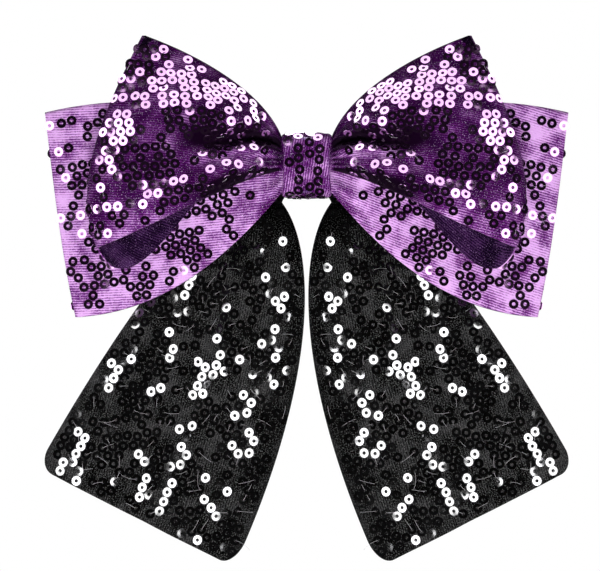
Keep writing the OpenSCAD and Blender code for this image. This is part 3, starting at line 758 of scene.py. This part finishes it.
def copies(template, quads, P, axes):
    """The template placed in every frame: P + x * tangent + y * side + z * normal, as one mesh."""
    tangent, side, normal = axes
    x, y, z = template[None, :, :1], template[None, :, 1:2], template[None, :, 2:]
    all_points = P[:, None] + x * tangent[:, None] + y * side[:, None] + z * normal[:, None]
    all_quads = quads[None] + (np.arange(len(P)) * len(template))[:, None, None]
    return all_points.reshape(-1, 3), all_quads.reshape(-1, 4)


def surface_frames(point_at, u, v, step=0.01):
    """Points and the two tangents of a surface at (u, v), by small steps each way."""
    P = point_at(u, v)
    du = point_at(u + step, v) - point_at(u - step, v)
    dv = point_at(u, v + step) - point_at(u, v - step)
    return P, du, dv


def strip_places(point_at, u_range, seed, keep, v_range=(0, 1), open_end=False):
    """Sequin places on a surface, evenly spaced along its middle line and across its own width. They
    keep clear of its two long borders, and of its far end too where open_end is true."""
    u = np.linspace(*u_range, SAMPLES)
    v = np.linspace(*v_range, ACROSS + 1)
    U, V = np.meshgrid(u, v, indexing="ij")
    P = point_at(U, V)
    middle = P[:, ACROSS // 2]
    along = np.concatenate([[0], np.cumsum(np.linalg.norm(np.diff(middle, axis=0), axis=-1))])
    cross = np.cumsum(np.linalg.norm(np.diff(P, axis=1), axis=-1), axis=1)
    cross = np.concatenate([np.zeros((SAMPLES, 1)), cross], axis=1)
    widest = cross[:, -1].max()
    x, y = scatter(along[-1], widest, seed, keep)
    at = np.interp(x, along, u)
    index = np.clip(np.searchsorted(u, at), 0, SAMPLES - 1)
    width = cross[index, -1]
    offset = y - widest / 2 + width / 2
    inside = (offset > BORDER_BARE) & (offset < width - BORDER_BARE)
    at, index, offset = at[inside], index[inside], offset[inside]
    rows = cross[index]
    k = np.clip((rows < offset[:, None]).sum(axis=1), 1, ACROSS)
    low, high = rows[np.arange(len(k)), k - 1], rows[np.arange(len(k)), k]
    share = (offset - low) / np.maximum(high - low, 1e-9)
    across = v[k - 1] + share * (v[k] - v[k - 1])
    border = np.concatenate([P[:, 0], P[:, -1]] + ([P[-1]] if open_end else []))
    centres = point_at(at, across)
    clear = np.array([np.linalg.norm(border - c, axis=-1).min() for c in centres]) > RING_R + RIM_GAP
    return at[clear], across[clear]


def set_shade(obj, count, per, seed):
    """A random tone for every copy, stored on its points for the material."""
    tone = np.repeat(np.random.default_rng(seed).random(count) ** 2, per)
    attribute = obj.data.attributes.new("shade", "FLOAT", "POINT")
    attribute.data.foreach_set("value", tone.astype(np.float32))


# %% [markdown]
# A clear thread runs from a ring's hole over its rim to the next stitch. It is finer than a hair, so
# it only shows where it glints. Each is a thin square bar, bent sideways a little.

# %% Sequins and their threads
THREAD_R = 0.035
BAR_STATIONS = 5


def bar_faces():
    """Closed square bar along its stations: four sides to a step, and a cap at each end."""
    def ring_of(row, k):
        return row * 4 + k % 4

    sides = [[ring_of(row, k), ring_of(row, k + 1), ring_of(row + 1, k + 1), ring_of(row + 1, k)]
             for row in range(BAR_STATIONS - 1) for k in range(4)]
    last = 4 * (BAR_STATIONS - 1)
    return np.array(sides + [[3, 2, 1, 0], [last, last + 1, last + 2, last + 3]])


BAR_QUADS = bar_faces()


def stitches(P, axes, reach, seed):
    """Threads from the middles of rings over their rims: out along the tangent, up over the rim and
    down again as an arch, and sideways as a parabola."""
    pick = np.random.default_rng(seed)
    tangent, side, normal = (a[:, None] for a in axes)
    length = pick.uniform(*reach, (len(P), 1, 1))
    bend = pick.normal(0, 0.25, (len(P), 1, 1)) * length
    u = np.linspace(0, 1, BAR_STATIONS)[None, :, None]
    line = P[:, None] + tangent * length * u + side * bend * u * u + normal * (0.05 + 0.6 * u * (1 - 1.1 * u))
    angle = np.arange(4) * np.pi / 2
    section = (np.cos(angle)[:, None] * side + np.sin(angle)[:, None] * normal) * THREAD_R
    points = line[:, :, None] + section[:, None]
    quads = BAR_QUADS[None] + (np.arange(len(P)) * 4 * BAR_STATIONS)[:, None, None]
    return points.reshape(-1, 3), quads.reshape(-1, 4)


LIFT = 0.2  # from the cloth to a ring's middle


def sequin_piece(name, groups, film, seed, body=None, blend=None, tilt=0.085, threads=0.12,
                 reach=(1.6, 2.6)):
    """All rings of one piece of cloth as one object, and all their threads as another. groups holds
    (points, du, dv, mirrored) tuples, threads is the share of rings that show one, and reach is the
    shortest and longest thread."""
    ring_parts, ring_quads, bar_parts, bar_quads = [], [], [], []
    count = 0
    for P, du, dv, mirrored in groups:
        axes = frames(P, du, dv, tilt, seed)
        centre = P + axes[2] * LIFT
        points, quads = copies(RING_POINTS, RING_QUADS, centre, axes)
        few = np.random.default_rng(seed + 9).random(len(P)) < threads
        bars, sides = stitches(centre[few], [a[few] for a in axes], reach, seed + 5)
        if mirrored:
            points, quads = points * MIRROR, quads[:, ::-1]
            bars, sides = bars * MIRROR, sides[:, ::-1]
        ring_quads.append(quads + sum(len(p) for p in ring_parts))
        bar_quads.append(sides + sum(len(p) for p in bar_parts))
        ring_parts.append(points)
        bar_parts.append(bars)
        count += len(P)
    ring_points, bar_points = np.concatenate(ring_parts), np.concatenate(bar_parts)
    rings = build(name + "_sequins", ring_points, np.concatenate(ring_quads), film, smooth=False)
    set_shade(rings, count, len(RING_POINTS), seed)
    bars = build(name + "_sequin_threads", bar_points, np.concatenate(bar_quads), THREAD)
    for obj in (rings, bars):
        if blend:
            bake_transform(obj)
        else:
            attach(obj, body)
    print(name, "sequins:", count)
    return rings, bars


FOLD_BARE = 0.08  # each side of the fold, in q


def loop_sequins(name, shape, seed, keep):
    """Sequins over both walls of a loop, and the same ones mirrored on the other loop."""
    def surface(q, v):
        return loop_point(shape, q, np.clip(v, 0, 1), 0.0)

    q, v = strip_places(surface, (0.06, 1.95), seed, keep)
    flat = np.abs(q - 1) > FOLD_BARE
    P, du, dv = surface_frames(surface, q[flat], v[flat])
    groups = [(P, du, dv, False), (P, du, dv, True)]
    return sequin_piece(name, groups, PURPLE_SEQUIN, seed, body="bow")


def tail_surface(k, s):
    """The tail's front face, with s held inside the cloth."""
    return tail_point(np.clip(s, 0, 1), k, -CLOTH_T)


def knot_surface(a, w):
    """The knot band's outer face."""
    return knot_point(a, w, 0.0)


front_sequins = loop_sequins("front_bow", FRONT, 21, 0.72)
back_sequins = loop_sequins("back_bow", BACK, 43, 0.55)

k, s = strip_places(tail_surface, (-0.04, 1.0), 65, 0.7, open_end=True)
P, du, dv = surface_frames(tail_surface, k, s)
for side in ("left", "right"):
    sequin_piece(
        "tail_" + side, [(P, du, dv, side == "left")], BLACK_SEQUIN, 65,
        blend=("bow", "tail_" + side, BEND_FROM, BEND_TO), tilt=0.11, threads=0.3, reach=(1.8, 5.0))

BARE_BACK = 0.9  # angle each side of the knot's rear seam that has no rings
a, w = strip_places(knot_surface, (BARE_BACK, 2 * np.pi - BARE_BACK), 90, 0.85, v_range=(-1, 1))
P, du, dv = surface_frames(knot_surface, a, w)
knot_sequins = sequin_piece(
    "knot_band", [(P, du, dv, False)], PURPLE_SEQUIN, 90, body="bow")

# %% [markdown]
# ## Sheets
# For each cloth the area of the strip it was cut from is printed. A bow's strip tapers from its full width at
# the folds to WAIST where the knot pinches it, and a tail's from its hem to TAIL_WAIST, so a cut's
# area is its length times the mean of its two widths. The built area is printed beside it.

WAIST = 2 * BUNDLE * MM
TAIL_WAIST = np.linalg.norm(top_out - top_in) * MM
LOOP_W, TAIL_CUT_W = 0.070, 0.068


def declare(obj, width, length, narrow):
    """A sheet cut to width times length, tapering to a narrow width at its pinched part."""
    area = length * (width + narrow) / 2
    print(obj.name, "cut cm2:", round(area * CM2, 1), "built cm2:", round(closed_area(obj) * CM2, 1))


declare(front_cloth, LOOP_W, 0.27, WAIST)
declare(front_lining, LOOP_W, 0.265, WAIST)
declare(back_cloth, LOOP_W, 0.315, WAIST)
declare(back_lining, LOOP_W, 0.31, WAIST)
for number, side in enumerate(("left", "right")):
    declare(tails[2 * number], TAIL_CUT_W, 0.13, TAIL_WAIST)
    declare(tails[2 * number + 1], TAIL_CUT_W, 0.13, TAIL_WAIST)
declare(knot, 0.015, 0.085, 0.012)
declare(gathers, 0.036, 0.017, 0.036)

# %% [markdown]
# ## Metal and trim
# The clip is nickel-plated steel, lightly brushed along its length, with spring parts left plainer.

# %% Metal and trim materials


def steel(name, colour, roughness, stretch):
    """Plated strip: fine scratches drawn out along X, in roughness and bump."""
    m, nodes, links, shader = material(name, colour, roughness, metallic=1.0)
    place = nodes.new("ShaderNodeTexCoord")
    long = nodes.new("ShaderNodeMapping")
    long.inputs["Scale"].default_value = stretch
    links.new(place.outputs["Object"], long.inputs["Vector"])
    scratch = nodes.new("ShaderNodeTexNoise")
    scratch.inputs["Scale"].default_value = 900
    scratch.inputs["Detail"].default_value = 3
    links.new(long.outputs["Vector"], scratch.inputs["Vector"])
    rough = nodes.new("ShaderNodeMapRange")
    rough.inputs["To Min"].default_value = roughness * 0.7
    rough.inputs["To Max"].default_value = roughness * 1.4
    links.new(scratch.outputs["Fac"], rough.inputs["Value"])
    links.new(rough.outputs["Result"], shader.inputs["Roughness"])
    bump = nodes.new("ShaderNodeBump")
    bump.inputs["Strength"].default_value = 0.12
    bump.inputs["Distance"].default_value = 0.05 * MM
    links.new(scratch.outputs["Fac"], bump.inputs["Height"])
    links.new(bump.outputs["Normal"], shader.inputs["Normal"])
    return m


PLATED = steel("nickel plate", (0.74, 0.74, 0.75), 0.2, (0.08, 1, 1))
SPRING = steel("spring steel", (0.55, 0.56, 0.58), 0.3, (0.05, 1, 1))
SLOTS = {"plated_steel": PLATED, "spring_steel": SPRING, "glue": GLUE, "purple_thread": PURPLE_THREAD}
for part in frame["record"]["subparts"]:
    if part["material_slot"] in SLOTS:
        node = frame["nodes"][part["node"]]
        node.data.materials.clear()
        node.data.materials.append(SLOTS[part["material_slot"]])
        print(part["node"], "is", part["material_slot"])

# %% [markdown]
# ## Light and camera
# Cloth and rings are lit apart. The key light low in front, one high in front, one behind and a
# strip at each side are seen by the cloth alone. A ceiling, and a wall and a high wall at each side,
# are seen by reflections alone: a ring that faces one flashes white, and any other ring is dark.
# The world is white to the camera and nearly black to everything else. The floor lies well below,
# because the bow is worn, not stood. It glows a pale even grey and lets the low lights through.

# %% Stage


def area_light(name, place, target, width, height, power, diffuse=True, gloss=True):
    """A rectangular soft light. One for reflections alone has diffuse=False, one for the cloth alone
    has gloss=False."""
    light = bpy.data.lights.new(name, "AREA")
    light.shape = "RECTANGLE"
    light.size, light.size_y, light.energy = width, height, power
    obj = bpy.data.objects.new(name, light)
    obj.location = place
    obj.rotation_euler = (Vector(target) - Vector(place)).to_track_quat("-Z", "Y").to_euler()
    obj.visible_diffuse, obj.visible_glossy = diffuse, gloss
    obj.visible_camera = False
    bpy.context.collection.objects.link(obj)
    return obj


centre = Vector([(lo + hi) / 2 for lo, hi in zip(*cad_box)])
area_light("key", (0, -1.1, -0.45), centre, 0.5, 0.3, 12.5, gloss=False)
area_light("front", (0, -1.0, 0.9), centre, 0.7, 0.5, 4, gloss=False)
area_light("rear", (0, 1.1, 0.5), centre, 0.9, 0.6, 16, gloss=False)
area_light("ceiling", (0, 0.5, 0.9), (0, 0.5, 0), 5.0, 2.8, 380, diffuse=False)
for side in (-1, 1):
    area_light("strip", (0.6 * side, -0.5, -0.3), centre, 0.25, 0.4, 2.4, gloss=False)
    area_light("high wall", (1.5 * side, 0.3, 0.6), (0, 0.3, 0.2), 1.6, 0.6, 27, diffuse=False)
    area_light("wall", (0.64 * side, -0.64, 0), centre, 0.34, 0.9, 13, diffuse=False)

world = bpy.data.worlds.new("studio")
bpy.context.scene.world = world
world.use_nodes = True
nodes, links = world.node_tree.nodes, world.node_tree.links
background = nodes["Background"]
path = nodes.new("ShaderNodeLightPath")
seen = nodes.new("ShaderNodeMix")
seen.data_type = "RGBA"
seen.inputs["A"].default_value = (0.006, 0.004, 0.007, 1)
seen.inputs["B"].default_value = (1, 1, 1, 1)
links.new(path.outputs["Is Camera Ray"], seen.inputs["Factor"])
links.new(seen.outputs["Result"], background.inputs["Color"])
background.inputs["Strength"].default_value = 1.0

FLOOR_Z, FLOOR_HALF = cad_box[0][2] - 0.25, 1.6
corner_xy = np.array([[-1, -1], [1, -1], [1, 1], [-1, 1]]) * FLOOR_HALF
floor_points = np.column_stack([corner_xy, np.full(4, FLOOR_Z)]) / MM
floor_material, _, _, floor_shader = material("floor", (0, 0, 0), 0.9, specular=0.0)
floor_shader.inputs["Emission Color"].default_value = (1, 1, 1, 1)
floor_shader.inputs["Emission Strength"].default_value = 0.86
floor = build("floor", floor_points, np.array([[0, 1, 2, 3]]), floor_material, smooth=False)
floor.visible_glossy = floor.visible_diffuse = floor.visible_shadow = False

camera = bpy.data.cameras.new("camera")
camera_object = bpy.data.objects.new("camera", camera)
bpy.context.collection.objects.link(camera_object)
bpy.context.scene.camera = camera_object
CAMERA_DISTANCE = 1.6
camera.lens = 319
camera_object.location = centre + Vector((-0.002, -CAMERA_DISTANCE, 0.0044))
camera_object.rotation_euler = (math.radians(90), 0, 0)
bpy.context.scene.view_settings.view_transform = "Standard"
